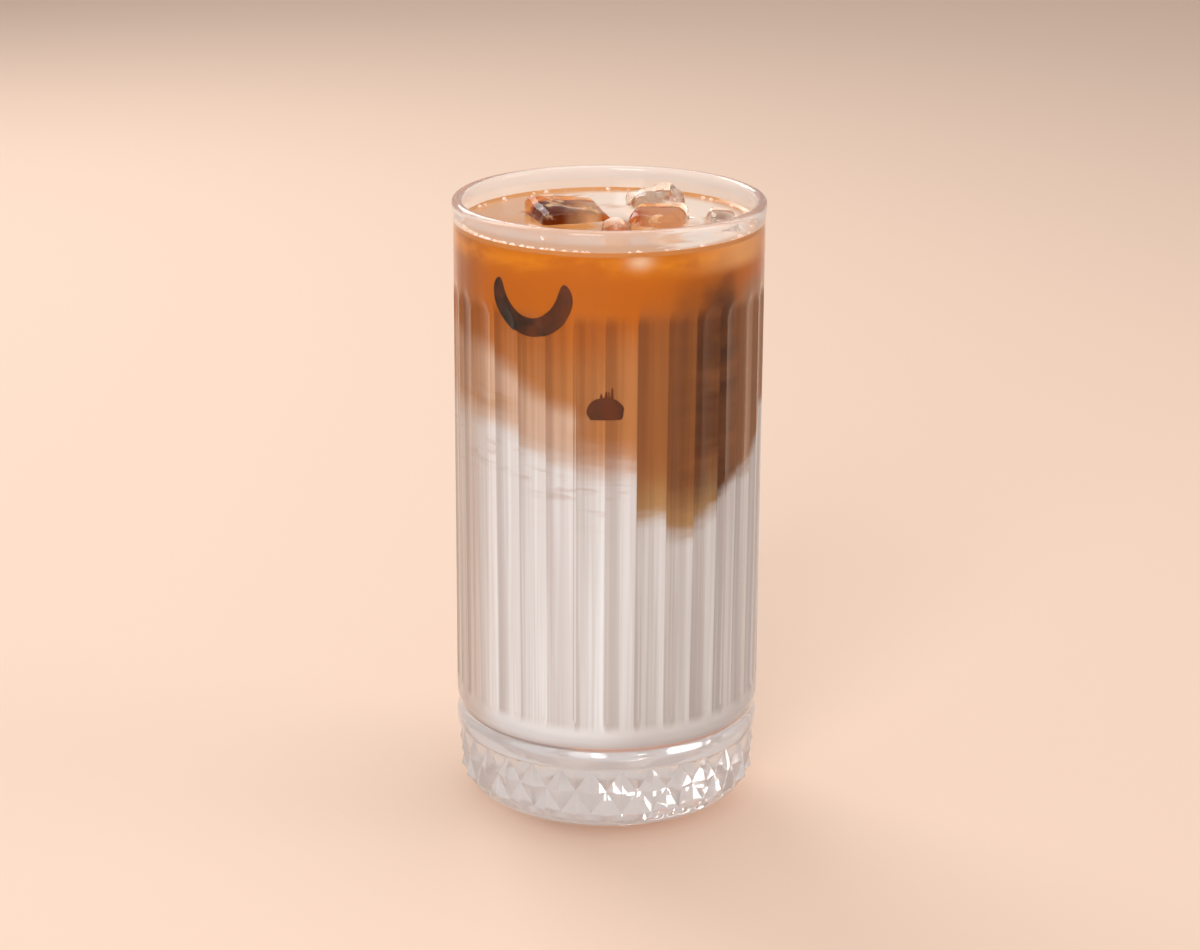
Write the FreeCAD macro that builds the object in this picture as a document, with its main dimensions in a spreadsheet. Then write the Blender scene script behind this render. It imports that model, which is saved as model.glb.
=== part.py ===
"""Iced latte in a tall fluted glass: a pressed tumbler with a smooth lip, thirty hollow flutes and
a foot cut with diamonds, filled with milk, coffee over the milk, and ice floating at the top.

Frame: millimetres, +Z up, origin at the middle of the foot's underside. -Y is the front.
"""
import FreeCAD
import Part
import Sketcher

import math
import os

from FreeCAD import Vector

DOC = FreeCAD.newDocument("iced_latte")
SHEET = DOC.addObject("Spreadsheet::Sheet", "Sizes")

# Driving dimensions, in millimetres. One cell each, named by its alias.
SIZES = {
    # the glass as a whole
    "glass_height": 150.0,
    "body_radius": 37.2,  # outside, over the ridges between the flutes
    "lip_bulge": 0.3,  # how far the lip stands out beyond the body
    "lip_thickness": 2.4,
    "lip_height": 4.0,  # from the top down to where the lip meets the body
    "lip_rounding": 1.0,
    "wall_at_floor": 3.8,  # wall over a ridge, low in the glass
    "floor_thickness": 19.5,
    "floor_corner": 6.5,  # rounding between floor and wall inside
    # flutes
    "flute_count": 30,
    "flute_gap_to_groove": 1.7,
    "flute_gap_to_lip": 20.0,
    "flute_depth": 0.8,
    "ridge_width": 0.3,
    # shoulder over the band, and the groove over the shoulder
    "shoulder_height": 2.7,
    "groove_half_width": 2.9,
    "groove_depth": 0.9,
    "groove_rounding": 3.0,
    # diamond band, with one diamond under each flute
    "band_low": 6.0,
    "band_high": 17.8,
    "band_inset": 0.2,  # the pyramids stand this much inside the shoulder
    "band_taper": 0.7,  # how much narrower the band is at its lower edge
    "diamond_relief": 1.2,  # height of a pyramid over the cuts round it
    "core_inset": 0.3,  # the plain core lies this much under the cuts
    # foot
    "foot_inset": 9.4,  # the standing ring lies this much inside the body
    "foot_ring_width": 3.0,
    "foot_recess": 1.4,
    "flank_inset": 4.0,  # where the curve under the band is fullest
    "flank_height": 2.1,
    "flank_rounding": 4.0,
    # drink
    "fill_gap_to_lip": 6.0,
    "drink_clearance": 0.05,
    "milk_height": 93.0,  # where the milk stops, at the middle
    "milk_tilt": 8.0,  # the milk stands this much higher at the left wall
    "coffee_dip": 18.0,  # how deep the coffee has sunk, front right
    "coffee_dip_right": 0.48,  # where, as shares of the mouth's radius
    "coffee_dip_front": 0.91,
    "coffee_dip_reach": 13.0,
    "ripple": 0.7,  # unevenness of the milk's top
    "ripple_length": 17.0,
    # ice
    "ice_rounding": 2.2,
    "ice_taper": 2.5,
}

# Ice cubes: width, depth and height, then where the middle lies, right and back as shares of the
# mouth's radius, and under the drink's surface, and in degrees the turn about Z, the lean to the
# left and the lean back.
ICE_FIELDS = ("wide", "deep", "tall", "right", "back", "sunk", "turn", "lean_left", "lean_back")
ICE = {
    "ice_left": (18.0, 17.0, 17.0, -0.30, 0.16, 5.6, 20.0, 5.0, 6.0),
    "ice_right": (13.5, 14.0, 16.0, 0.355, 0.015, 4.8, -14.0, -6.0, 8.0),
    "ice_back": (13.0, 11.0, 17.0, 0.34, 0.53, 4.6, 24.0, -10.0, 4.0),
    "ice_side": (7.6, 12.5, 13.0, 0.755, 0.04, 4.6, 6.0, 7.0, 6.0),
    "ice_tip": (7.0, 7.0, 11.0, 0.045, -0.25, 2.6, 40.0, -12.0, 14.0),
}

# Places that follow from the sizes, as expressions over the sheet.
MOUTH_RADIUS = "(Sizes.body_radius + Sizes.lip_bulge - Sizes.lip_thickness)"
MOUTH_HEIGHT = "(Sizes.glass_height - Sizes.lip_height)"
WELL_RADIUS = "(Sizes.body_radius - Sizes.wall_at_floor)"
FILL_HEIGHT = "(Sizes.glass_height - Sizes.fill_gap_to_lip)"
WALL_SLOPE = f"(({MOUTH_RADIUS} - {WELL_RADIUS}) / ({MOUTH_HEIGHT} - Sizes.floor_thickness))"
FILL_RADIUS = f"({WELL_RADIUS} + {WALL_SLOPE} * ({FILL_HEIGHT} - Sizes.floor_thickness))"
CORE_RADIUS = (
    "(Sizes.body_radius - Sizes.band_inset - Sizes.band_taper"
    " - Sizes.diamond_relief - Sizes.core_inset)"
)
FOOT_RADIUS = "(Sizes.body_radius - Sizes.foot_inset)"
FLANK_RADIUS = "(Sizes.body_radius - Sizes.flank_inset)"
GROOVE_LOW = "(Sizes.band_high + Sizes.shoulder_height)"
GROOVE_HEIGHT = f"({GROOVE_LOW} + Sizes.groove_half_width)"
GROOVE_HIGH = f"({GROOVE_HEIGHT} + Sizes.groove_half_width)"
FLUTE_LOW = f"({GROOVE_HIGH} + Sizes.flute_gap_to_groove)"
FLUTE_HIGH = "(Sizes.glass_height - Sizes.flute_gap_to_lip)"
DRINK_WELL = f"({WELL_RADIUS} - Sizes.drink_clearance)"
DRINK_BED = "(Sizes.floor_thickness + Sizes.drink_clearance)"

# A flute is part of a round bar whose radius makes the flute end at the two ridges beside it.
FLUTE_BED = "(Sizes.body_radius - Sizes.flute_depth)"
RIDGE_ANGLE = "(180deg / Sizes.flute_count - Sizes.ridge_width / Sizes.body_radius * 90deg / pi)"
FLUTE_RADIUS = (
    f"(({FLUTE_BED}^2 - 2 * Sizes.body_radius * {FLUTE_BED} * cos({RIDGE_ANGLE})"
    f" + Sizes.body_radius^2) / (2 * (Sizes.body_radius * cos({RIDGE_ANGLE}) - {FLUTE_BED})))"
)
FLUTE_AXIS = f"({FLUTE_BED} + {FLUTE_RADIUS})"
FLUTE_HALF_WIDTH = f"(Sizes.body_radius * sin({RIDGE_ANGLE}))"


def fill_sheet():
    """Writes every size to a cell of its own and gives the cell its alias."""
    cells = dict(SIZES)
    for name, values in ICE.items():
        cells.update({f"{name}_{field}": value for field, value in zip(ICE_FIELDS, values)})
    for row, (alias, value) in enumerate(cells.items(), start=1):
        SHEET.set(f"A{row}", alias)
        SHEET.set(f"B{row}", str(value))
        SHEET.setAlias(f"B{row}", alias)
    DOC.recompute()


def size(alias):
    """The value of one cell."""
    return float(SHEET.get(alias))


def origin_part(body, role):
    """One of the body's own origin planes or axes."""
    return next(feature for feature in body.Origin.OriginFeatures if feature.Role == role)


def upright_sketch(body, name):
    """An empty sketch in the body's XZ plane: its X is the distance from the axis, its Y is up."""
    sketch = body.newObject("Sketcher::SketchObject", name)
    sketch.AttachmentSupport = [(origin_part(body, "XZ_Plane"), "")]
    sketch.MapMode = "FlatFace"
    return sketch


def bind(sketch, kind, geometry, point, expression):
    """Holds one coordinate of a point at an expression."""
    rough = sketch.getPoint(geometry, point)
    value = rough.x if kind == "DistanceX" else rough.y
    index = sketch.addConstraint(Sketcher.Constraint(kind, -1, 1, geometry, point, value))
    sketch.setExpression(f"Constraints[{index}]", expression)


def turned_outline(body, name, corners):
    """Turns a closed outline of straight lines about Z. A corner is a distance and a height."""
    sketch = upright_sketch(body, f"{name}_outline")
    reach = size("body_radius")
    count = len(corners)
    rough = [Vector(reach + reach * math.sin(2 * math.pi * i / count),
                    reach - reach * math.cos(2 * math.pi * i / count), 0) for i in range(count)]
    for i in range(count):
        sketch.addGeometry(Part.LineSegment(rough[i], rough[(i + 1) % count]), False)
    for i, (distance, height) in enumerate(corners):
        sketch.addConstraint(Sketcher.Constraint("Coincident", i - 1 if i else count - 1, 2, i, 1))
        if distance == "0":
            sketch.addConstraint(Sketcher.Constraint("PointOnObject", i, 1, -2))
        else:
            bind(sketch, "DistanceX", i, 1, distance)
        if height == "0":
            sketch.addConstraint(Sketcher.Constraint("PointOnObject", i, 1, -1))
        else:
            bind(sketch, "DistanceY", i, 1, height)
    DOC.recompute()
    turned = body.newObject("PartDesign::Revolution", f"{name}_turned")
    turned.Profile = sketch
    turned.ReferenceAxis = (sketch, ["V_Axis"])
    turned.Angle = 360.0
    DOC.recompute()
    return turned


def ring_edges(feature, spots):
    """The names of a turned solid's round edges at the given distances and heights."""
    names = []
    for distance, height in spots:
        for number, edge in enumerate(feature.Shape.Edges, start=1):
            curve = edge.Curve
            if not isinstance(curve, Part.Circle):
                continue
            if math.hypot(curve.Radius - distance, curve.Center.z - height) < 0.01:
                names.append(f"Edge{number}")
    if len(names) < len(spots):
        raise RuntimeError(f"{feature.Name}: {len(names)} of {len(spots)} edges found")
    return names


def rounded(body, name, feature, spots, radius):
    """Rounds the named round edges of a turned solid by one of the sizes."""
    fillet = body.newObject("PartDesign::Fillet", name)
    fillet.Base = (feature, ring_edges(feature, spots))
    fillet.Radius = 1.0
    fillet.setExpression("Radius", radius)
    DOC.recompute()
    return fillet


def glass_blank():
    """The glass before its diamonds: foot, core of the band, shoulder, flutes and lip."""
    body = DOC.addObject("PartDesign::Body", "glass_blank")
    foot_inside = f"({FOOT_RADIUS} - Sizes.foot_ring_width)"
    lip_radius = "(Sizes.body_radius + Sizes.lip_bulge)"
    turned = turned_outline(body, "blank", [
        ("0", "Sizes.foot_recess"),
        (f"{foot_inside} - Sizes.foot_recess", "Sizes.foot_recess"),
        (foot_inside, "0"),
        (FOOT_RADIUS, "0"),
        (FLANK_RADIUS, "Sizes.flank_height"),
        (CORE_RADIUS, "Sizes.band_low"),
        (CORE_RADIUS, "Sizes.band_high"),
        ("Sizes.body_radius", "Sizes.band_high"),
        ("Sizes.body_radius", GROOVE_LOW),
        ("Sizes.body_radius - Sizes.groove_depth", GROOVE_HEIGHT),
        ("Sizes.body_radius", GROOVE_HIGH),
        ("Sizes.body_radius", MOUTH_HEIGHT),
        (lip_radius, f"{MOUTH_HEIGHT} + Sizes.lip_rounding"),
        (lip_radius, "Sizes.glass_height"),
        (MOUTH_RADIUS, "Sizes.glass_height"),
        (MOUTH_RADIUS, MOUTH_HEIGHT),
        (WELL_RADIUS, "Sizes.floor_thickness"),
        ("0", "Sizes.floor_thickness"),
    ])
    outside, top = size("body_radius"), size("glass_height")
    lip = outside + size("lip_bulge")
    step = rounded(body, "lip_round", turned,
                   [(lip, top), (lip - size("lip_thickness"), top)], "Sizes.lip_rounding")
    step = rounded(body, "floor_round", step,
                   [(outside - size("wall_at_floor"), size("floor_thickness"))],
                   "Sizes.floor_corner")
    groove_height = size("band_high") + size("shoulder_height") + size("groove_half_width")
    step = rounded(body, "groove_round", step,
                   [(outside - size("groove_depth"), groove_height)], "Sizes.groove_rounding")
    rounded(body, "flank_round", step,
            [(outside - size("flank_inset"), size("flank_height"))], "Sizes.flank_rounding")
    cut_flutes(body)
    return body


def cut_flutes(body):
    """Cuts one flute as a groove turned about its own upright axis, and repeats it all round."""
    sketch = upright_sketch(body, "flute_outline")
    radius = size("body_radius") / 3
    axis = size("body_radius") + radius
    low = size("floor_thickness") + radius
    high = size("glass_height") - radius
    ends = [(low, f"{FLUTE_LOW} + {FLUTE_HALF_WIDTH}", math.pi, 1.5 * math.pi),
            (high, f"{FLUTE_HIGH} - {FLUTE_HALF_WIDTH}", 0.5 * math.pi, math.pi)]
    for number, (height, place, start, stop) in enumerate(ends):
        circle = Part.Circle(Vector(axis, height, 0), Vector(0, 0, 1), radius)
        sketch.addGeometry(Part.ArcOfCircle(circle, start, stop), False)
        bind(sketch, "DistanceX", number, 3, FLUTE_AXIS)
        bind(sketch, "DistanceY", number, 3, place)
    bed = axis - radius
    sketch.addGeometry(Part.LineSegment(Vector(bed, low, 0), Vector(bed, high, 0)), False)
    sketch.addGeometry(Part.LineSegment(Vector(axis, high + radius, 0),
                                        Vector(axis, low - radius, 0)), False)
    for first, first_end, second, second_end in ((0, 1, 2, 1), (2, 2, 1, 2), (1, 1, 3, 1),
                                                 (3, 2, 0, 2)):
        sketch.addConstraint(Sketcher.Constraint("Coincident", first, first_end,
                                                 second, second_end))
    sketch.addConstraint(Sketcher.Constraint("Vertical", 2))
    for arc, tangent_end, axis_end in ((0, 1, 2), (1, 2, 1)):
        sketch.addConstraint(Sketcher.Constraint("Horizontal", arc, 3, arc, tangent_end))
        sketch.addConstraint(Sketcher.Constraint("Vertical", arc, 3, arc, axis_end))
    index = sketch.addConstraint(Sketcher.Constraint("Radius", 0, radius))
    sketch.setExpression(f"Constraints[{index}]", FLUTE_RADIUS)
    sketch.addGeometry(Part.LineSegment(Vector(axis, low, 0), Vector(axis, high, 0)), True)
    DOC.recompute()
    before = body.Shape.Volume
    groove = body.newObject("PartDesign::Groove", "flute")
    groove.Profile = sketch
    groove.ReferenceAxis = (sketch, ["Axis0"])
    groove.Angle = 360.0
    DOC.recompute()
    if before - body.Shape.Volume < 1.0:
        raise RuntimeError("the flute cuts nothing")
    ring = body.newObject("PartDesign::PolarPattern", "flutes")
    ring.Originals = [groove]
    ring.Axis = (origin_part(body, "Z_Axis"), [""])
    ring.Angle = 360.0
    ring.setExpression("Occurrences", "Sizes.flute_count")
    body.Tip = ring
    DOC.recompute()


def diamond_band():
    """A ring of four-sided pyramids, one under each flute, with half ones between them.

    The corners lie in rows. Along a row every other corner is the tip of a pyramid, and the rest
    lie at the bottom of the cuts, which run from one low corner to the next low one.
    """
    columns = 2 * int(size("flute_count"))
    low, high = size("band_low"), size("band_high")
    peak = size("body_radius") - size("band_inset")
    skirt_height = (low + size("flank_height")) / 2
    core = peak - size("band_taper") - size("diamond_relief") - size("core_inset")
    flank = size("body_radius") - size("flank_inset")
    skirt = (core + flank) / 2 - size("core_inset")

    def corner(row, column):
        height = (skirt_height, low, (low + high) / 2, high)[row]
        radius = skirt
        if row > 0:
            radius = peak - size("band_taper") * (high - height) / (high - low)
            if (row + column) % 2:
                radius -= size("diamond_relief")
        angle = 2 * math.pi * (column + 1) / columns
        return Vector(radius * math.cos(angle), radius * math.sin(angle), height)

    faces = []
    for row in range(3):
        for column in range(columns):
            left, right = (row, column), (row, column + 1)
            left_up, right_up = (row + 1, column), (row + 1, column + 1)
            if (row + column) % 2:
                halves = ((left, right, right_up), (left, right_up, left_up))
            else:
                halves = ((left, right, left_up), (right, right_up, left_up))
            faces += [[corner(*place) for place in half] for half in halves]
    faces.append([corner(0, column) for column in range(columns)])
    faces.append([corner(3, column) for column in range(columns)])
    shell = Part.makeShell([Part.Face(Part.makePolygon(points + points[:1])) for points in faces])
    band = DOC.addObject("Part::Feature", "diamond_band")
    band.Shape = Part.makeSolid(shell)
    return band


def well():
    """The space inside the glass below its lip."""
    body = DOC.addObject("PartDesign::Body", "well")
    turned = turned_outline(body, "well", [
        ("0", "Sizes.floor_thickness"),
        (WELL_RADIUS, "Sizes.floor_thickness"),
        (MOUTH_RADIUS, MOUTH_HEIGHT),
        ("0", MOUTH_HEIGHT),
    ])
    rounded(body, "well_round", turned,
            [(size("body_radius") - size("wall_at_floor"), size("floor_thickness"))],
            "Sizes.floor_corner")
    return body


def glass():
    """The blank and its diamonds, in one piece. The band stays out of the well."""
    ring = DOC.addObject("Part::Cut", "diamond_ring")
    ring.Base = diamond_band()
    ring.Tool = well()
    whole = DOC.addObject("Part::Fuse", "glass")
    whole.Base = glass_blank()
    whole.Tool = ring
    whole.Refine = True
    return whole


def drink_space():
    """All of the drink as one body: it fills the glass to the level of its surface."""
    body = DOC.addObject("PartDesign::Body", "drink_space")
    turned = turned_outline(body, "drink", [
        ("0", DRINK_BED),
        (DRINK_WELL, DRINK_BED),
        (f"{FILL_RADIUS} - Sizes.drink_clearance", FILL_HEIGHT),
        ("0", FILL_HEIGHT),
    ])
    well = size("body_radius") - size("wall_at_floor") - size("drink_clearance")
    bed = size("floor_thickness") + size("drink_clearance")
    rounded(body, "drink_round", turned, [(well, bed)], "Sizes.floor_corner")
    return body


def milk_top(right, back):
    """The height of the milk under one spot: higher at the left, with a dip in front."""
    mouth = size("body_radius") + size("lip_bulge") - size("lip_thickness")
    off = math.hypot(right - mouth * size("coffee_dip_right"),
                     (back + mouth * size("coffee_dip_front")) / 2) / size("coffee_dip_reach")
    ripple = size("ripple") * (math.sin(2 * math.pi * right / size("ripple_length"))
                               + math.cos(2 * math.pi * back / size("ripple_length")))
    return (size("milk_height") - size("milk_tilt") * right / size("body_radius")
            - size("coffee_dip") * math.exp(-off * off) + ripple)


def under_milk_top():
    """The space below the uneven level where milk and coffee meet."""
    reach = size("body_radius") + size("lip_bulge")
    steps = 24
    marks = [reach * (2 * i / steps - 1) for i in range(steps + 1)]
    surface = Part.BSplineSurface()
    surface.interpolate([[Vector(x, y, milk_top(x, y)) for y in marks] for x in marks])
    space = DOC.addObject("Part::Feature", "under_milk_top")
    space.Shape = surface.toShape().extrude(Vector(0, 0, -size("glass_height")))
    return space


def ice_cube(name):
    """One melted cube: a block that narrows towards its foot, with every edge rounded."""
    body = DOC.addObject("PartDesign::Body", name)
    block = body.newObject("PartDesign::AdditiveWedge", f"{name}_block")
    for axis, field in (("X", "wide"), ("Z", "deep")):
        half = f"Sizes.{name}_{field} / 2"
        block.setExpression(f"{axis}min", f"-({half} - Sizes.ice_taper / 2)")
        block.setExpression(f"{axis}max", f"{half} - Sizes.ice_taper / 2")
        block.setExpression(f"{axis}2min", f"-({half})")
        block.setExpression(f"{axis}2max", half)
    block.setExpression("Ymin", f"-Sizes.{name}_tall / 2")
    block.setExpression("Ymax", f"Sizes.{name}_tall / 2")
    DOC.recompute()
    rounding = body.newObject("PartDesign::Fillet", f"{name}_rounding")
    rounding.Base = (block, [f"Edge{i}" for i in range(1, len(block.Shape.Edges) + 1)])
    rounding.Radius = 1.0
    rounding.setExpression("Radius", "Sizes.ice_rounding")
    # The block is drawn with its height along Y, so it is stood up before it is turned and leant.
    spot = (f"vector({MOUTH_RADIUS} * Sizes.{name}_right; {MOUTH_RADIUS} * Sizes.{name}_back;"
            f" {FILL_HEIGHT} - Sizes.{name}_sunk)")
    lean = f"rotation(Sizes.{name}_turn; Sizes.{name}_lean_left; Sizes.{name}_lean_back)"
    body.setExpression("Placement", f"placement({spot}; {lean} * rotation(0; 0; 90))")
    return body


def layers(ice):
    """Milk below, and over it the coffee, with a hollow for each cube of ice."""
    space = drink_space()
    below = under_milk_top()
    milk = DOC.addObject("Part::Common", "milk")
    milk.Base = space
    milk.Tool = below
    over = DOC.addObject("Part::Cut", "over_milk")
    over.Base = space
    over.Tool = below
    cubes = DOC.addObject("Part::MultiFuse", "all_ice")
    cubes.Shapes = ice
    coffee = DOC.addObject("Part::Cut", "coffee")
    coffee.Base = over
    coffee.Tool = cubes
    return [milk, coffee]


def check_all():
    """Stops if anything in the document failed to build."""
    for item in DOC.Objects:
        if "Invalid" in item.State or "Error" in item.State:
            raise RuntimeError(f"{item.Name} failed: {item.State}")


def main():
    fill_sheet()
    ice = [ice_cube(name) for name in ICE]
    pieces = [glass()] + layers(ice) + ice
    DOC.recompute()
    check_all()
    for piece in pieces:
        shape = piece.Shape
        if shape.isNull() or not shape.isValid() or len(shape.Solids) != 1:
            raise RuntimeError(f"{piece.Label} isn't one sound solid")
    os.makedirs("parts", exist_ok=True)
    for piece in pieces:
        piece.Shape.exportStep(f"parts/{piece.Label}.step")
        print(piece.Label, round(piece.Shape.Volume / 1000, 2), "cm3")


main()
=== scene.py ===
import math

import bmesh
import bpy
from mathutils import Euler, Matrix, Vector


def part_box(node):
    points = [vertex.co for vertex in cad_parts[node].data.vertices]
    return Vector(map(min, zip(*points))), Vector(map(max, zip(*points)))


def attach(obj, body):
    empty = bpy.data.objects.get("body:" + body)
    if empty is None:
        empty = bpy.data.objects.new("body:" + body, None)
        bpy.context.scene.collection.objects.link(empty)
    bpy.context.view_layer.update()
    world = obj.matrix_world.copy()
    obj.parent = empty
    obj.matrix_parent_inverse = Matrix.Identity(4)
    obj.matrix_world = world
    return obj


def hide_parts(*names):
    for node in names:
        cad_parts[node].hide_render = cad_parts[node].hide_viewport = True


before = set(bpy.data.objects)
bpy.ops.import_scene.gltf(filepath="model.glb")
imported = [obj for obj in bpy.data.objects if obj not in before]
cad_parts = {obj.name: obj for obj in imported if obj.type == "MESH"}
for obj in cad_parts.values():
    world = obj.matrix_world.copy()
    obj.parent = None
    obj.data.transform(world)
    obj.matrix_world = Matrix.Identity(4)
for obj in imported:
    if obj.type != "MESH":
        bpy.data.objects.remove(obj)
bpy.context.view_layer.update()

# --- Glass -------------------------------------------------------------------------------------
# A pressed tumbler in clear glass: a rounded lip, thirty hollow flutes that end in
# arches, a groove and a plain shoulder, a band of four-sided diamonds and a heavy foot. It is
# drawn up ring by ring from the middle of the underside, over the lip and down to the well.

MM = 0.001
GLASS_COLUMNS = 360
FLUTES = 30
PHASES = GLASS_COLUMNS // FLUTES
GLASS_LOW, GLASS_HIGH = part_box("glass")
TOP = GLASS_HIGH[2]
BODY_RADIUS = 37.2 * MM
MOUTH_RADIUS = 35.1 * MM
WELL_RADIUS = 33.4 * MM
DRINK_GAP = 0.05 * MM
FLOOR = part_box("milk")[0][2] - DRINK_GAP
FLOOR_CORNER = 6.5 * MM
LIP_RADIUS = 1.2 * MM
LIP_DEPTH = 4.0 * MM


class Turned:
    """A turned piece that is drawn up ring by ring, in edit mode, from its first ring of points.

    The wall of the glass repeats with every flute, so a ring's radius may be a rule: a function of
    the place in the flute, which counts the columns from the nearest ridge.
    """

    def __init__(self, name, columns, radius, height):
        bpy.ops.object.select_all(action="DESELECT")
        bpy.ops.mesh.primitive_circle_add(vertices=columns, radius=radius,
                                          location=(0, 0, height))
        self.piece = bpy.context.object
        self.piece.name = name
        self.columns = columns
        self.height = height
        self.reach = [radius] * (PHASES // 2 + 1)
        bpy.ops.object.transform_apply(location=True)
        bpy.ops.object.mode_set(mode="EDIT")
        bpy.ops.mesh.select_all(action="SELECT")

    def place(self, vert):
        """How many columns a point stands away from the nearest ridge."""
        turn = round(math.atan2(vert.co.x, -vert.co.y) / math.tau * self.columns) % PHASES
        return min(turn, PHASES - turn)

    def ring(self, rule, height):
        """Extrudes the selected ring to a height and gives it its radius."""
        reach = [rule(place) if callable(rule) else rule for place in range(PHASES // 2 + 1)]
        scales = [new / old for new, old in zip(reach, self.reach)]
        bpy.ops.mesh.extrude_region_move(
            TRANSFORM_OT_translate={"value": (0, 0, height - self.height)})
        self.height, self.reach = height, reach
        if max(scales) - min(scales) < 1e-7:
            bpy.ops.transform.resize(value=(scales[0], scales[0], 1), center_override=(0, 0, 0))
            return
        mesh = bmesh.from_edit_mesh(self.piece.data)
        ring = [vert for vert in mesh.verts if vert.select]
        for place, scale in enumerate(scales):
            bpy.ops.mesh.select_all(action="DESELECT")
            for vert in ring:
                vert.select = self.place(vert) == place
            bpy.ops.transform.resize(value=(scale, scale, 1), center_override=(0, 0, 0))
        bpy.ops.mesh.select_all(action="DESELECT")
        chosen = set(ring)
        for vert in ring:
            vert.select = True
            for edge in vert.link_edges:
                edge.select = edge.other_vert(vert) in chosen

    def rings(self, profile):
        """Plain rings through a list of radii and heights."""
        for radius, height in profile:
            self.ring(radius, height)

    def shut_ring(self):
        """Shuts the selected ring with a point in the middle."""
        bpy.ops.mesh.extrude_region_move()
        bpy.ops.mesh.merge(type="CENTER")

    def close(self):
        """Shuts the last ring, then the first."""
        self.shut_ring()
        bpy.ops.mesh.select_all(action="DESELECT")
        bpy.ops.mesh.select_non_manifold(extend=False)
        self.shut_ring()


def finish_turned(piece, crease):
    """Points the faces outwards, leaves edit mode and shades all but the sharp edges smooth."""
    bpy.ops.mesh.select_all(action="SELECT")
    bpy.ops.mesh.normals_make_consistent(inside=False)
    bpy.ops.object.mode_set(mode="OBJECT")
    bpy.ops.object.select_all(action="DESELECT")
    piece.select_set(True)
    bpy.context.view_layer.objects.active = piece
    bpy.ops.object.shade_smooth_by_angle(angle=math.radians(crease))


def arc(middle_radius, middle_height, radius, start, stop, steps):
    """Points on a round stretch of a profile, with the angles counted up from outwards."""
    turns = [math.radians(start + (stop - start) * i / steps) for i in range(steps + 1)]
    return [(middle_radius + radius * math.cos(turn), middle_height + radius * math.sin(turn))
            for turn in turns]


def wall_radius(height):
    """Radius of the wall inside the glass, which narrows evenly from the mouth to the floor."""
    share = (height - FLOOR) / (TOP - LIP_DEPTH - FLOOR)
    return WELL_RADIUS + (MOUTH_RADIUS - WELL_RADIUS) * min(share, 1.0)


RECESS = 1.4 * MM
RING_INSIDE, RING_OUTSIDE = 24.8 * MM, 27.8 * MM
FLANK_RADIUS, FLANK_HEIGHT = 33.0 * MM, 2.1 * MM
underside = [(10 * MM, RECESS), (18 * MM, RECESS), (22.6 * MM, RECESS)]
underside += arc(RING_INSIDE, 0.8 * MM, 0.8 * MM, 180, 270, 5)
foot = arc(RING_OUTSIDE - 0.6 * MM, 1.0 * MM, 1.0 * MM, 270, 292, 3)
foot += [(30.6 * MM, 1.0 * MM), (32.2 * MM, 1.75 * MM), (33.3 * MM, 2.5 * MM),
         (34.1 * MM, 3.3 * MM), (34.75 * MM, 4.3 * MM)]

glass = Turned("fluted_glass", GLASS_COLUMNS, 4 * MM, RECESS)
glass.rings(underside + foot)

BAND_LOW, BAND_HIGH = 6.0 * MM, 17.8 * MM
BAND_PEAK, BAND_TAPER = 37.0 * MM, 0.7 * MM
RELIEF = 1.2 * MM
BAND_ROWS = PHASES


def diamond_radius(place, row):
    """Radius of the faceted band: pyramids on a chequer, with straight cuts between them."""
    across, up = 2 * place / PHASES, 2 * row / BAND_ROWS
    peaks = ((0, 0), (1, 1), (0, 2))
    away = min(abs(across - x) + abs(up - y) for x, y in peaks)
    cell = math.pi / FLUTES
    chord = math.cos(cell / 2) / math.cos(across * cell - cell / 2)
    return (BAND_PEAK - BAND_TAPER * (1 - row / BAND_ROWS) - RELIEF * away) * chord


for row in range(BAND_ROWS + 1):
    glass.ring(lambda place: diamond_radius(place, row),
               BAND_LOW + (BAND_HIGH - BAND_LOW) * row / BAND_ROWS)

GROOVE_HEIGHT, GROOVE_REACH, GROOVE_DEPTH = 23.4 * MM, 2.9 * MM, 0.9 * MM
shoulder = [(36.95 * MM, 17.95 * MM), (37.12 * MM, 18.15 * MM), (BODY_RADIUS, 18.5 * MM),
            (BODY_RADIUS, 19.6 * MM)]
groove = []
for step in range(13):
    rise = step / 6 - 1
    groove.append((BODY_RADIUS - GROOVE_DEPTH * math.cos(rise * math.pi / 2) ** 2,
                   GROOVE_HEIGHT + rise * GROOVE_REACH))
glass.rings(shoulder + groove + [(BODY_RADIUS, 27.4 * MM)])

FLUTE_DEPTH = 0.8 * MM
FLUTE_LOW, FLUTE_HIGH = 28.0 * MM, TOP - 20 * MM
HALF_FLUTE = math.pi / FLUTES
bed = BODY_RADIUS - FLUTE_DEPTH
bar = ((bed ** 2 - 2 * BODY_RADIUS * bed * math.cos(HALF_FLUTE) + BODY_RADIUS ** 2)
       / (2 * (BODY_RADIUS * math.cos(HALF_FLUTE) - bed)))
half_width = BODY_RADIUS * math.sin(HALF_FLUTE)


def flute_radius(place, off):
    """Radius of the fluted wall, off above or below the straight stretch of the flute."""
    turn = HALF_FLUTE * (1 - 2 * place / PHASES)
    inside = bar ** 2 - off ** 2 - ((bed + bar) * math.sin(turn)) ** 2
    if inside <= 0:
        return BODY_RADIUS
    return min(BODY_RADIUS, (bed + bar) * math.cos(turn) - math.sqrt(inside))


arch = [half_width * share for share in (1.0, 0.98, 0.94, 0.87, 0.77, 0.64, 0.48, 0.28, 0.0)]
rows = [(FLUTE_LOW + half_width - off, off) for off in arch]
rows += [(FLUTE_HIGH - half_width + off, off) for off in reversed(arch)]
for row_height, off in rows:
    glass.ring(lambda place: flute_radius(place, off), row_height)

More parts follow.
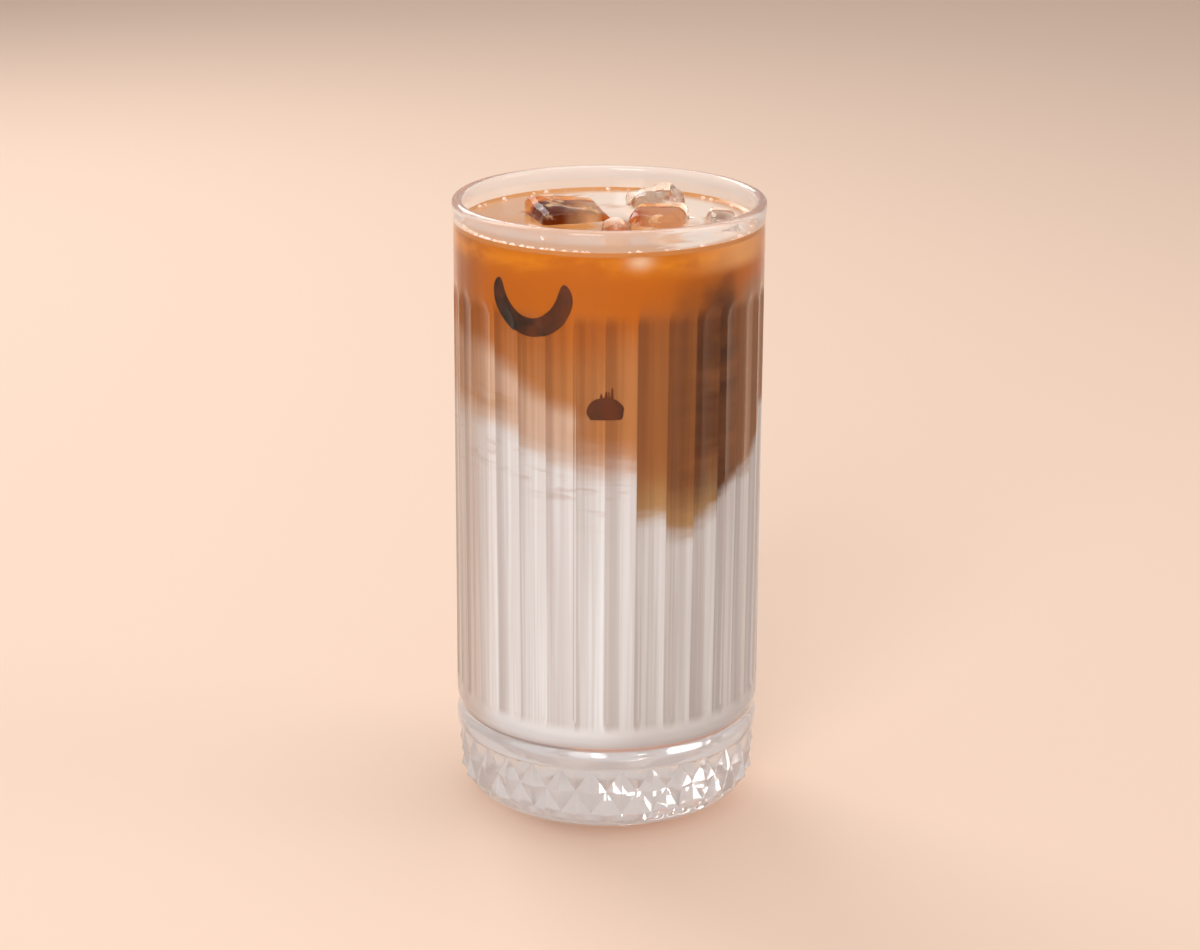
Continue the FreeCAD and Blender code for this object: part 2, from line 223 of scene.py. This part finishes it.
lip = [(BODY_RADIUS, 132 * MM), (BODY_RADIUS, TOP - LIP_DEPTH),
       (BODY_RADIUS + 0.1 * MM, TOP - 3.0 * MM), (BODY_RADIUS + 0.25 * MM, TOP - 2.0 * MM)]
lip += arc(MOUTH_RADIUS + LIP_RADIUS, TOP - LIP_RADIUS, LIP_RADIUS, 0, 180, 16)
well = [(MOUTH_RADIUS, TOP - LIP_DEPTH)]
well += [(wall_radius(level * MM), level * MM) for level in (120, 90, 60, 40)]
corner_radius = wall_radius(FLOOR + FLOOR_CORNER) - FLOOR_CORNER
well += arc(corner_radius, FLOOR + FLOOR_CORNER, FLOOR_CORNER, 0, -90, 10)
well += [(18 * MM, FLOOR), (8 * MM, FLOOR)]
glass.rings(lip + well)
glass.close()


def split_band(odd, method):
    """Splits the band's squares that lie in the odd or the even quarters of the diamonds."""
    mesh = bmesh.from_edit_mesh(glass.piece.data)
    bpy.ops.mesh.select_all(action="DESELECT")
    bpy.ops.mesh.select_mode(type="FACE")
    for face in mesh.faces:
        middle = face.calc_center_median()
        if BAND_LOW < middle.z < BAND_HIGH and middle.xy.length > RING_OUTSIDE:
            turn = math.degrees(math.atan2(middle.x, -middle.y)) % (360 / FLUTES)
            quarter = (turn > 180 / FLUTES) + (middle.z > (BAND_LOW + BAND_HIGH) / 2)
            face.select_set(quarter % 2 == odd)
    bpy.ops.mesh.quads_convert_to_tris(quad_method=method)
    bpy.ops.mesh.select_mode(type="VERT")


split_band(0, "FIXED")
split_band(1, "FIXED_ALTERNATE")
finish_turned(glass.piece, 14)


class Wire:
    """A shader socket that sums like a number: each operator adds its node to the same tree."""

    def __init__(self, tree, socket=None):
        self.tree = tree
        self.socket = socket

    def node(self, kind, settings, sockets, output=0):
        """Adds a node, makes its settings, then fills its sockets with values or links."""
        made = self.tree.nodes.new(kind)
        for name, value in settings.items():
            setattr(made, name, value)
        for name, value in sockets.items():
            if isinstance(value, Wire):
                self.tree.links.new(value.socket, made.inputs[name])
            else:
                made.inputs[name].default_value = value
        return Wire(self.tree, made.outputs[output] if made.outputs else None)

    def other(self, output):
        """Another output of the node that this wire comes from."""
        return Wire(self.tree, self.socket.node.outputs[output])

    def maths(self, operation, first, second=0.0):
        """One sum of the Math node, in the same tree."""
        return self.node("ShaderNodeMath", {"operation": operation}, {0: first, 1: second})

    def __add__(self, other):
        return self.maths("ADD", self, other)

    def __sub__(self, other):
        return self.maths("SUBTRACT", self, other)

    def __rsub__(self, other):
        return self.maths("SUBTRACT", other, self)

    def __mul__(self, other):
        return self.maths("MULTIPLY", self, other)

    def __truediv__(self, other):
        return self.maths("DIVIDE", self, other)

    __radd__ = __add__

    def hill(self, middle, reach):
        """One at the middle, falling smoothly to nothing on both sides."""
        off = (self - middle) / reach
        return self.maths("EXPONENT", off * off * -1.0)

    def ease(self, start, stop):
        """Rises smoothly from nothing at the start to one at the stop."""
        return self.node("ShaderNodeMapRange", {"interpolation_type": "SMOOTHSTEP"},
                         {"Value": self, "From Min": start, "From Max": stop})

    def blend(self, under, over):
        """The colour under, covered by the colour over as far as this mask says."""
        return self.node("ShaderNodeMix", {"data_type": "RGBA"}, {0: self, 6: under, 7: over}, 2)

    def shaders(self, under, over):
        """The finish under, replaced by the finish over as far as this mask says."""
        return self.node("ShaderNodeMixShader", {}, {0: self, 1: under, 2: over})

    def noise(self, places, size, detail=3.0, stretch=(1, 1, 1), roughness=0.5):
        """Cloudy noise, from 0 to 1, with clouds of about this size in metres."""
        scaled = self.node("ShaderNodeVectorMath", {"operation": "MULTIPLY"},
                           {0: places, 1: tuple(value / size for value in stretch)})
        return self.node("ShaderNodeTexNoise", {}, {"Vector": scaled, "Scale": 1.0,
                                                    "Detail": detail, "Roughness": roughness})


def new_material(name):
    """An empty material and a wire into its tree."""
    made = bpy.data.materials.new(name)
    made.use_nodes = True
    made.node_tree.nodes.clear()
    return made, Wire(made.node_tree)


def srgb(red, green, blue):
    """A colour given as it looks on a screen, from 0 to 255, as the shader's linear values."""
    parts = [value / 255 for value in (red, green, blue)]
    return tuple(p / 12.92 if p <= 0.04045 else ((p + 0.055) / 1.055) ** 2.4
                 for p in parts) + (1.0,)


# The glass's index is set lower than a real glass's, so that the floor's reflection doesn't veil
# the dark coffee. The foot and the lip have a share of plain white gloss, which makes them
# paler: a painted sheen, in place of the light that their cut faces gather.
GLASS_INDEX = 1.4
FOOT_PAINTED_SHEEN, LIP_PAINTED_SHEEN = 0.36, 0.16

clear_glass, wire = new_material("clear_pressed_glass")
places = wire.node("ShaderNodeTexCoord", {}, {}, 3)
ripples = wire.noise(places, 9 * MM, 1.0)
bump = wire.node("ShaderNodeBump", {}, {"Strength": 0.05, "Distance": 0.3 * MM,
                                        "Height": ripples})
solid = wire.node("ShaderNodeBsdfPrincipled", {}, {
    "Base Color": (0.985, 0.99, 0.99, 1), "Roughness": 0.0, "IOR": GLASS_INDEX,
    "Transmission Weight": 1.0, "Normal": bump})


def clear_in_shadow(wire, solid, tint):
    """Clear stuff throws a light shadow only, so that what it holds is lit through it."""
    ray = wire.node("ShaderNodeLightPath", {}, {}, "Is Shadow Ray")
    open_air = wire.node("ShaderNodeBsdfTransparent", {}, {"Color": tint})
    wire.node("ShaderNodeOutputMaterial", {}, {"Surface": ray.shaders(solid, open_air)})


height = wire.node("ShaderNodeSeparateXYZ", {}, {0: places}, 2)
# Painted sheen: white gloss mixed into the foot and the lip of the clear glass.
painted_sheen_share = height.ease(26 * MM, 22 * MM) * FOOT_PAINTED_SHEEN
painted_sheen_share = painted_sheen_share + height.ease(146 * MM, 147.5 * MM) * LIP_PAINTED_SHEEN
painted_sheen_gloss = wire.node("ShaderNodeBsdfPrincipled", {}, {
    "Base Color": srgb(240, 240, 243), "Roughness": 0.2, "Coat Weight": 0.5})
clear_in_shadow(wire, painted_sheen_share.shaders(solid, painted_sheen_gloss), (0.95, 0.95, 0.95, 1))
tumbler = glass.piece
tumbler.data.materials.append(clear_glass)
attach(tumbler, "root")
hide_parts("glass")

# --- Floating ice ------------------------------------------------------------------------------
# Melted cubes of clear ice with frosty cores. Each starts from the plain cube of the frame, is
# remeshed, and is melted out of true by cloudy noise; the tops stand out of the drink.

ICE = ("ice_left", "ice_right", "ice_back", "ice_side", "ice_tip")


def on_its_own(piece):
    """Selects one object only and makes it the active one."""
    bpy.ops.object.select_all(action="DESELECT")
    piece.hide_set(False)
    piece.select_set(True)
    bpy.context.view_layer.objects.active = piece


def with_modifier(piece, kind, settings):
    """Adds a modifier, sets it up and applies it."""
    on_its_own(piece)
    made = piece.modifiers.new(kind.lower(), kind)
    for name, value in settings.items():
        setattr(made, name, value)
    bpy.ops.object.modifier_apply(modifier=made.name)


def copy_of(source, name):
    """A copy with its own mesh, as one skin."""
    on_its_own(source)
    bpy.ops.object.duplicate()
    piece = bpy.context.object
    piece.name = name
    piece.data.materials.clear()
    bpy.ops.object.mode_set(mode="EDIT")
    bpy.ops.mesh.select_all(action="SELECT")
    bpy.ops.mesh.remove_doubles(threshold=0.00001)
    bpy.ops.object.mode_set(mode="OBJECT")
    return piece


def melt(piece, size, depth):
    """Moves the skin in and out by cloudy noise of a given size."""
    texture = bpy.data.textures.new(f"{piece.name}_clouds", "CLOUDS")
    texture.noise_scale = size
    texture.noise_depth = 1
    with_modifier(piece, "DISPLACE", {"texture": texture, "strength": depth, "mid_level": 0.5,
                                      "texture_coords": "LOCAL"})


clear_ice, wire = new_material("wet_clear_ice")
places = wire.node("ShaderNodeTexCoord", {}, {}, 3)
frost = wire.noise(places, 5 * MM, 4.0, roughness=0.6).ease(0.5, 0.68)
skin = wire.noise(places, 2.5 * MM, 2.0)
bump = wire.node("ShaderNodeBump", {}, {"Strength": 0.25, "Distance": 0.4 * MM, "Height": skin})
split = wire.node("ShaderNodeSeparateXYZ", {}, {0: places})
back = split.other(1)
clear = (split + back * 0.8 + skin * 5 * MM).ease(17 * MM, 23 * MM)
ice = wire.node("ShaderNodeBsdfPrincipled", {}, {
    "Base Color": clear.blend(srgb(250, 206, 150), srgb(255, 250, 244)),
    "Roughness": 0.03, "IOR": 1.2, "Transmission Weight": 1.0, "Normal": bump})
snow = wire.node("ShaderNodeBsdfPrincipled", {}, {
    "Base Color": clear.blend(srgb(226, 176, 126), srgb(244, 236, 228)),
    "Roughness": 0.35, "Normal": bump})
# A white frosted spot where an edge of the ice catches the light: a painted glint.
painted_glint = (split - 1.6 * MM).hill(0, 3.5 * MM) * (back + 8.8 * MM).hill(0, 3.5 * MM)
snow = painted_glint.shaders(snow, wire.node("ShaderNodeBsdfPrincipled", {}, {
    "Base Color": srgb(252, 246, 240), "Roughness": 0.3, "Normal": bump}))
mixed = (frost * 0.7 + painted_glint * 0.6).shaders(ice, snow)
clear_in_shadow(wire, mixed, (0.85, 0.82, 0.8, 1))

cubes = []
for name in ICE:
    cube = copy_of(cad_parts[name], f"{name}_melted")
    with_modifier(cube, "REMESH", {"mode": "VOXEL", "voxel_size": 0.55 * MM})
    melt(cube, 6 * MM, -1.1 * MM)
    with_modifier(cube, "SMOOTH", {"factor": 0.5, "iterations": 4})
    bpy.ops.object.shade_smooth()
    cube.data.materials.append(clear_ice)
    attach(cube, "root")
    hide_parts(name)
    cubes.append(cube)

# --- Latte -------------------------------------------------------------------------------------
# Milk, and coffee that was poured over it and has sunk into it in front at the right. One body of
# liquid that fills the glass to the wall, with a meniscus, and with hollows where the ice lies.

SKIN = 0.15 * MM
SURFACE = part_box("coffee")[1][2]


def drink_radius(height):
    """Radius of the drink's side, which reaches a skin's depth into the glass."""
    return wall_radius(height) + SKIN


latte = Turned("latte_layers", 240, 6 * MM, FLOOR - SKIN)
bottom = [(18 * MM, FLOOR - SKIN)]
bottom += arc(corner_radius, FLOOR + FLOOR_CORNER, FLOOR_CORNER + SKIN, -90, 0, 8)
sides = [(drink_radius(level * MM), level * MM) for level in range(32, 144, 8)]
edge = wall_radius(SURFACE)
sides += [(edge + SKIN, SURFACE + 0.7 * MM), (edge - 0.15 * MM, SURFACE + 0.55 * MM),
          (edge - 0.5 * MM, SURFACE + 0.25 * MM), (edge - 1.1 * MM, SURFACE + 0.08 * MM),
          (edge - 2.0 * MM, SURFACE)]
top = [(share * edge, SURFACE) for share in (0.9, 0.83, 0.76, 0.69, 0.62, 0.55, 0.48, 0.41, 0.34,
                                             0.27, 0.2, 0.13, 0.06)]
latte.rings(bottom + sides + top)
latte.close()
finish_turned(latte.piece, 40)
drink = latte.piece
for cube in cubes:
    with_modifier(drink, "BOOLEAN", {"object": cube, "operation": "DIFFERENCE",
                                     "solver": "EXACT"})

# In this material, levels are millimetres over the table, and bearings are degrees from the front,
# counted up to the right. The places below are where each layer or mark lies.
IN_MM = 1000
FLUTE_TURN = 360 / FLUTES
RIDGE_SHIFT, LENS_PULL = 0.5, 0.55
GLOW_LEVEL, CREAM_LEVEL, AMBER_SPOT_LEVEL, MILK_LEVEL = 141.4, 120, 105.5, 101
PATCH_BEARING, BUBBLE_BEARING, BUBBLE_LEVEL = 60, 11.5, 142.4

coffee_milk, wire = new_material("coffee_over_milk")
places = wire.node("ShaderNodeTexCoord", {}, {}, 3)
split = wire.node("ShaderNodeSeparateXYZ", {}, {0: places})
across = split
back = split.other(1)
level = split.other(2) * IN_MM
angle = wire.maths("ARCTAN2", across, back * -1.0) * math.degrees(1)

# A flute would draw the drink behind it together, like a narrow lens. That is painted here: seen is
# the bearing whose colours a point takes, so that the layers change in steps from flute to flute.
turn = (angle + RIDGE_SHIFT) / FLUTE_TURN
flute = turn.maths("FLOOR", turn)
in_flute = turn.maths("FRACT", turn + FLUTES)
fluted = level.ease(26, 29) * level.ease(131, 127)
flute_middle = flute * FLUTE_TURN + (FLUTE_TURN / 2 - RIDGE_SHIFT)
seen = angle + (flute_middle - angle) * LENS_PULL * fluted
side = seen.maths("SINE", seen * math.radians(1))
near = seen.maths("COSINE", seen * math.radians(1))
shown = wire.node("ShaderNodeCombineXYZ", {}, {
    0: side * 34 * MM, 1: near * -34 * MM, 2: level * MM})
front = near.ease(0.0, 0.35)
cloud = wire.noise(shown, 16 * MM, 4.0, (1, 1, 0.8), 0.55) - 0.5
wisp = wire.noise(shown, 6 * MM, 5.0, (1, 1, 2.2), 0.6) - 0.5
streak = wire.noise(shown, 9 * MM, 3.0, (1, 1, 2.0), 0.5) - 0.5

# Coffee from the top down: orange, a brighter line under the surface, tan, and cream at the left.
upper = (level + cloud * 14).ease(112, 132)
colour = upper.blend(srgb(200, 132, 74), srgb(194, 102, 0))
colour = ((side + 0.8).ease(0.04, -0.16) * front * 0.5).blend(colour, srgb(128, 76, 20))
glow = (level - GLOW_LEVEL + cloud * 3).hill(0, 2.2) * (cloud + wisp * 0.5).ease(-0.12, 0.1)
colour = (glow * 0.8).blend(colour, srgb(222, 134, 10))
slope = CREAM_LEVEL - (seen + 60).ease(0, 48) * 13
cream = (level + cloud * 8 - slope).ease(3, -4) * (side + cloud * 0.5).ease(-0.1, -0.34)
cream = cream * (seen.ease(-64, -46) * 0.6 + 0.4)
colour = (cream * 0.9).blend(colour, srgb(234, 202, 178))
amber_spot = (level - AMBER_SPOT_LEVEL + wisp * 10).hill(0, 2.6) * side.ease(-0.58, -0.76) * front
amber_spot = amber_spot * streak.ease(-0.2, 0.1)
colour = (amber_spot * 0.8).blend(colour, srgb(196, 136, 78))

# Coffee that has sunk in front at the right: brown, then nearly black brown, tan at its foot.
brown = seen.ease(10, 13) * front * (level + cloud * 10).ease(138, 126)
colour = (brown * 0.75).blend(colour, srgb(162, 96, 44))
dark = (seen.ease(22, 30) * 0.55 + seen.ease(34, 40) * 0.45) * seen.ease(62, 50)
dark = dark * (level + cloud * 12).ease(143, 130) * (0.75 + streak * 1.2)
colour = (dark * 0.95).blend(colour, srgb(80, 36, 0))
edge_tan = seen.ease(54, 64) * seen.ease(125, 100) * level.ease(136, 130)
colour = (edge_tan * 0.8).blend(colour, srgb(168, 118, 80))

# The line where milk begins: it falls slowly from the left and drops in steps at the right.
fall = (seen.ease(-46, -22) * 6 + seen.ease(-22, 0) * 3 + seen.ease(10.5, 13) * 11
        + seen.ease(19, 31) * 6 - seen.ease(34, 44) * 5 - seen.ease(46, 58) * 8)
milk_line = (MILK_LEVEL - fall * front
             - cloud * (7 - seen.ease(8, 13) * front * 2) + wisp * 5)
amber_foot = (level - milk_line).hill(2, 7) * seen.ease(9, 13) * seen.ease(52, 40)
colour = (amber_foot * 0.8).blend(colour, srgb(196, 154, 102))
haze = (level - milk_line).hill(1, 4) * side.ease(0.21, 0.07)
colour = (haze * 0.7).blend(colour, srgb(226, 196, 176))
# The milk itself is one white. It is painted greyer to the right and at the left edge: painted
# shade.
milk_with_painted_shade = side.ease(-0.1, 0.28).blend(srgb(246, 245, 246), srgb(232, 228, 227))
milk_with_painted_shade = (near.ease(0.7, 0.4) * side.ease(0.1, -0.1)).blend(milk_with_painted_shade, srgb(228, 214, 205))
# Greyish-pink wisps just under the milk line at the left are painted shade.
painted_shade_tinge = (level - milk_line).hill(-7, 6) * wisp.ease(0.0, 0.16) * side.ease(0.21, 0.07)
milk_with_painted_shade = (painted_shade_tinge * 0.5).blend(milk_with_painted_shade, srgb(206, 176, 164))
colour = (level - milk_line).ease(3, -3.5).blend(colour, milk_with_painted_shade)

# The upright streaks of light behind the flutes are painted too, brightest before each ridge.
saw = in_flute.ease(-0.1, 0.95) * in_flute.ease(1.0, 0.96)
round_wall = wire.node("ShaderNodeCombineXYZ", {}, {0: across, 1: back})
lines = wire.noise(round_wall, 2.8 * MM, 3.0, roughness=0.65)
strength = (level - milk_line).ease(-6, 4) * 0.15 + 0.5
shade = ((1 - saw) * strength + lines.ease(0.62, 0.38) * 0.4) * fluted
# The milk is also painted darker at its foot, below the flutes: painted shade.
shade = shade + level.ease(30, 23) * 0.45
darker = wire.node("ShaderNodeMix", {"data_type": "RGBA", "blend_type": "MULTIPLY"}, {
    0: 1.0, 6: colour, 7: srgb(198, 188, 183)}, 2)
colour = shade.blend(colour, darker)

# Pale foam against the wall at the surface: a patch at the right and one bubble near the middle.
patch = (seen - PATCH_BEARING).hill(0, 20) * level.ease(136.5, 140) * front
colour = (patch * 0.8).blend(colour, srgb(236, 170, 104))
bubble = (angle - BUBBLE_BEARING).hill(0, 4.5) * level.hill(BUBBLE_LEVEL, 1.7)
colour = (bubble * 0.85).blend(colour, srgb(236, 196, 160))

# The surface: tan coffee with cream that swirls towards the back, orange where it meets the wall.
stir = wire.noise(places, 22 * MM, 2.0) - 0.5
drift = wire.node("ShaderNodeVectorMath", {"operation": "ADD"}, {
    0: places, 1: wire.node("ShaderNodeCombineXYZ", {}, {0: stir * 0.03, 1: stir * -0.02})})
swirl = wire.noise(drift, 13 * MM, 4.0, (1, 0.5, 1), 0.55)
radial = wire.maths("SQRT", across * across + back * back) * IN_MM
on_top = level.ease(143.4, 143.9)
creamy = (swirl + across * 6 + back * 3).ease(0.44, 0.62) * radial.ease(34.5, 30)
open_top = creamy.blend(srgb(196, 132, 72), srgb(232, 206, 186))
rim_tan = radial.ease(29, 34) * back.ease(-4 * MM, -16 * MM)
open_top = (rim_tan * 0.8).blend(open_top, srgb(200, 124, 52))
colour = on_top.blend(colour, open_top)

# What shows inside a hollow, through the ice, is painted: coffee in painted shade, dark at the
# left, then amber, and beige at the back.
deep = radial.ease(33.2, 31.5) * level.ease(143.7, 142.8)
amber = (across + stir * 12 * MM).ease(-11 * MM, -6 * MM)
hollow = amber.blend(srgb(132, 62, 16), srgb(236, 140, 44))
hollow = (back + across * 0.4).ease(8 * MM, 13 * MM).blend(hollow, srgb(238, 212, 192))
colour = deep.blend(colour, hollow)
shader = wire.node("ShaderNodeBsdfPrincipled", {}, {
    "Base Color": colour, "Roughness": 0.3, "IOR": 1.34, "Specular IOR Level": 0.05,
    "Coat Weight": on_top, "Coat Roughness": 0.05})
wire.node("ShaderNodeOutputMaterial", {}, {"Surface": shader})
drink.data.materials.clear()
drink.data.materials.append(coffee_milk)
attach(drink, "root")
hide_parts("milk", "coffee")

# --- Sunk ice ----------------------------------------------------------------------------------
# Two cubes that lie against the wall under the surface. Where clear ice touches the glass it
# shows dark: the rim of a hollow thimble cube as an open ring, and a blunt corner as a half moon.

# The ice here is an opaque dark brown, painted shade that stands in for the dark drink seen through
# clear ice; it is paler towards the right.
wall_ice_painted_shade, wire = new_material("ice_against_the_wall_painted_shade")
places = wire.node("ShaderNodeTexCoord", {}, {}, 3)
depth = wire.noise(places, 4 * MM, 3.0)
split = wire.node("ShaderNodeSeparateXYZ", {}, {0: places})
light_side = (split * IN_MM + depth * 6).ease(-20, -8)
brown = depth.ease(0.35, 0.7).blend(srgb(22, 6, 0), srgb(84, 34, 0))
brown = (light_side * 0.4).blend(brown, srgb(120, 54, 8))
shader = wire.node("ShaderNodeBsdfPrincipled", {}, {
    "Base Color": brown, "Roughness": 0.25, "Specular IOR Level": 0.1})
wire.node("ShaderNodeOutputMaterial", {}, {"Surface": shader})


def stand_at_wall(piece, bearing, middle_radius, level, lean):
    """Turns a piece whose front is +Z to face out at a bearing, leant back, and sets it there."""
    on_its_own(piece)
    turn = Matrix.Rotation(math.radians(bearing), 4, "Z")
    face_out = Matrix.Rotation(math.radians(90 + lean), 4, "X")
    piece.matrix_world = (turn @ Matrix.Translation((0, -middle_radius, level)) @ face_out
                          @ piece.matrix_world)
    bpy.ops.object.transform_apply(location=True, rotation=True, scale=True)


def trim_to_wall(piece, reach):
    """Cuts a piece back to an upright cylinder, just past the drink's side."""
    bpy.ops.object.select_all(action="DESELECT")
    bpy.ops.mesh.primitive_cylinder_add(vertices=360, radius=reach, depth=0.2,
                                        location=(0, 0, 0.1))
    bore = bpy.context.object
    with_modifier(piece, "BOOLEAN", {"object": bore, "operation": "INTERSECT",
                                     "solver": "EXACT"})
    bpy.data.objects.remove(bore)


THIMBLE_LEVEL, CORNER_LEVEL = 134.0 * MM, 106.8 * MM
THIMBLE_BEARING, CORNER_BEARING = -30.6, -1
bpy.ops.object.select_all(action="DESELECT")
bpy.ops.mesh.primitive_torus_add(major_radius=8.3 * MM, minor_radius=2.35 * MM,
                                 major_segments=96, minor_segments=32)
thimble = bpy.context.object
thimble.name = "sunk_ice_thimble"
bpy.ops.object.mode_set(mode="EDIT")
bpy.ops.mesh.select_all(action="SELECT")
bpy.ops.mesh.bisect(plane_co=(0, 5 * MM, 0), plane_no=(0, 1, 0), use_fill=True, clear_outer=True)
bpy.ops.object.mode_set(mode="OBJECT")
stand_at_wall(thimble, THIMBLE_BEARING, 32.4 * MM, THIMBLE_LEVEL, -14)
melt(thimble, 6 * MM, 0.3 * MM)
trim_to_wall(thimble, drink_radius(THIMBLE_LEVEL) + 0.1 * MM)

bpy.ops.object.select_all(action="DESELECT")
bpy.ops.mesh.primitive_ico_sphere_add(subdivisions=5, radius=4.5 * MM)
corner = bpy.context.object
corner.name = "sunk_ice_corner"
bpy.ops.object.mode_set(mode="EDIT")
bpy.ops.mesh.select_all(action="SELECT")
bpy.ops.mesh.bisect(plane_co=(0, -2.2 * MM, 0), plane_no=(0, -1, 0), use_fill=True,
                    clear_outer=True)
bpy.ops.mesh.select_all(action="SELECT")
bpy.ops.transform.resize(value=(1.0, 0.85, 0.8))
mesh = bmesh.from_edit_mesh(corner.data)
for tip, rise in ((-0.9 * MM, 1.0 * MM), (0.4 * MM, 1.5 * MM), (1.3 * MM, 2.4 * MM)):
    bpy.ops.mesh.select_all(action="DESELECT")
    for vert in mesh.verts:
        vert.select = vert.co.y > 1.4 * MM and abs(vert.co.x - tip) < 0.3 * MM
    bpy.ops.transform.translate(value=(0, rise, 0))
bpy.ops.object.mode_set(mode="OBJECT")
stand_at_wall(corner, CORNER_BEARING, 33.2 * MM, CORNER_LEVEL, 0)
melt(corner, 2 * MM, 0.6 * MM)
trim_to_wall(corner, drink_radius(CORNER_LEVEL) + 0.12 * MM)

for piece in (thimble, corner):
    on_its_own(piece)
    bpy.ops.object.shade_smooth_by_angle(angle=math.radians(35))
    piece.data.materials.append(wall_ice_painted_shade)
    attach(piece, "root")

# --- Foam --------------------------------------------------------------------------------------
# A string of small bubbles that cling to the glass where the surface meets it, close together at
# the front left and few behind. Each is sunk by a little more than a third.

bubble_skin, wire = new_material("milky_bubbles")
places = wire.node("ShaderNodeTexCoord", {}, {}, 3)
cloudy = wire.noise(places, 1.5 * MM, 2.0)
film = wire.node("ShaderNodeBsdfPrincipled", {}, {
    "Base Color": srgb(255, 244, 234), "Roughness": 0.05, "IOR": 1.15,
    "Transmission Weight": 1.0})
milky = wire.node("ShaderNodeBsdfPrincipled", {}, {
    "Base Color": cloudy.ease(0.3, 0.7).blend(srgb(238, 206, 178), srgb(250, 238, 228)),
    "Roughness": 0.15, "Coat Weight": 1.0, "Coat Roughness": 0.03})
clear_in_shadow(wire, (cloudy * 0.5 + 0.3).shaders(film, milky), (0.9, 0.88, 0.86, 1))

bpy.ops.object.select_all(action="DESELECT")
bpy.ops.mesh.primitive_ico_sphere_add(subdivisions=3, radius=0.9 * MM,
                                      location=(6.8 * MM, -33.4 * MM, SURFACE + 0.1 * MM))
foam = bpy.context.object
foam.name = "surface_bubbles"
bpy.ops.object.transform_apply(location=True)
bpy.ops.object.mode_set(mode="EDIT")
bearings = [-84 + 1.75 * step + 1.2 * math.sin(step * 2.4) for step in range(44)]
bearings += [8 + 11 * step + 4 * math.sin(step * 1.9) for step in range(24)]
for step, bearing in enumerate(bearings):
    size = (0.38 + 0.34 * abs(math.sin(step * 1.7))) * MM
    reach = wall_radius(SURFACE) - size - (0.1 + 0.7 * abs(math.sin(step * 3.1))) * MM
    bpy.ops.mesh.primitive_ico_sphere_add(
        subdivisions=2, radius=size,
        location=(reach * math.sin(math.radians(bearing)),
                  -reach * math.cos(math.radians(bearing)), SURFACE + 0.25 * size))
bpy.ops.object.mode_set(mode="OBJECT")
bpy.ops.object.shade_smooth()
foam.data.materials.append(bubble_skin)
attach(foam, "root")

# --- Floor, light and camera -------------------------------------------------------------------
# A plain pale floor under soft studio light: windows in front at the left and behind at the left,
# a weak one at the right, a panel overhead, and a pale room all round.

floor_finish, wire = new_material("pale_floor")
shader = wire.node("ShaderNodeBsdfPrincipled", {}, {
    "Base Color": srgb(228, 200, 180), "Roughness": 0.6, "Specular IOR Level": 0.2})
wire.node("ShaderNodeOutputMaterial", {}, {"Surface": shader})
bpy.ops.object.select_all(action="DESELECT")
bpy.ops.mesh.primitive_plane_add(size=6, location=(0, 0, 0))
floor = bpy.context.object
floor.name = "floor"
floor.data.materials.append(floor_finish)

room = bpy.data.worlds.new("room")
bpy.context.scene.world = room
room.use_nodes = True
room.node_tree.nodes["Background"].inputs["Color"].default_value = srgb(236, 232, 230)
room.node_tree.nodes["Background"].inputs["Strength"].default_value = 0.66


def window(name, place, aim, wide, tall, power, colour):
    """A soft rectangular light that faces a spot."""
    bpy.ops.object.light_add(type="AREA", location=place)
    light = bpy.context.object
    light.name = name
    light.rotation_euler = (Vector(aim) - Vector(place)).to_track_quat("-Z", "Y").to_euler()
    light.data.shape = "RECTANGLE"
    light.data.size, light.data.size_y = wide, tall
    light.data.energy = power
    light.data.color = colour


MIDDLE = (0, 0, 0.08)
window("window_left", (-0.26, -0.85, 0.6), MIDDLE, 0.4, 0.6, 4.4, (1.0, 0.99, 0.98))
window("window_back", (-0.45, 0.8, 0.7), MIDDLE, 0.6, 0.5, 5.0, (1.0, 0.99, 0.97))
window("window_right", (0.85, -0.1, 0.5), MIDDLE, 0.4, 0.6, 1.3, (1.0, 0.99, 0.98))
window("panel_over", (0.1, 0.1, 0.9), MIDDLE, 0.5, 0.5, 2.0, (1.0, 1.0, 1.0))

DISTANCE, EYE_HEIGHT = 719.2 * MM, 307.9 * MM
PITCH, YAW, LEAN = math.radians(17.54), math.radians(-0.153), math.radians(0.268)
bpy.ops.object.camera_add(location=(0, -DISTANCE, EYE_HEIGHT))
camera = bpy.context.object
turn = Euler((math.pi / 2 - PITCH, 0, -YAW)).to_matrix() @ Matrix.Rotation(LEAN, 3, "Z")
camera.rotation_euler = turn.to_euler()
camera.data.sensor_width = 36
camera.data.lens = 92.64
camera.data.clip_start = 0.01
bpy.context.scene.camera = camera
bpy.context.scene.view_settings.view_transform = "Standard"
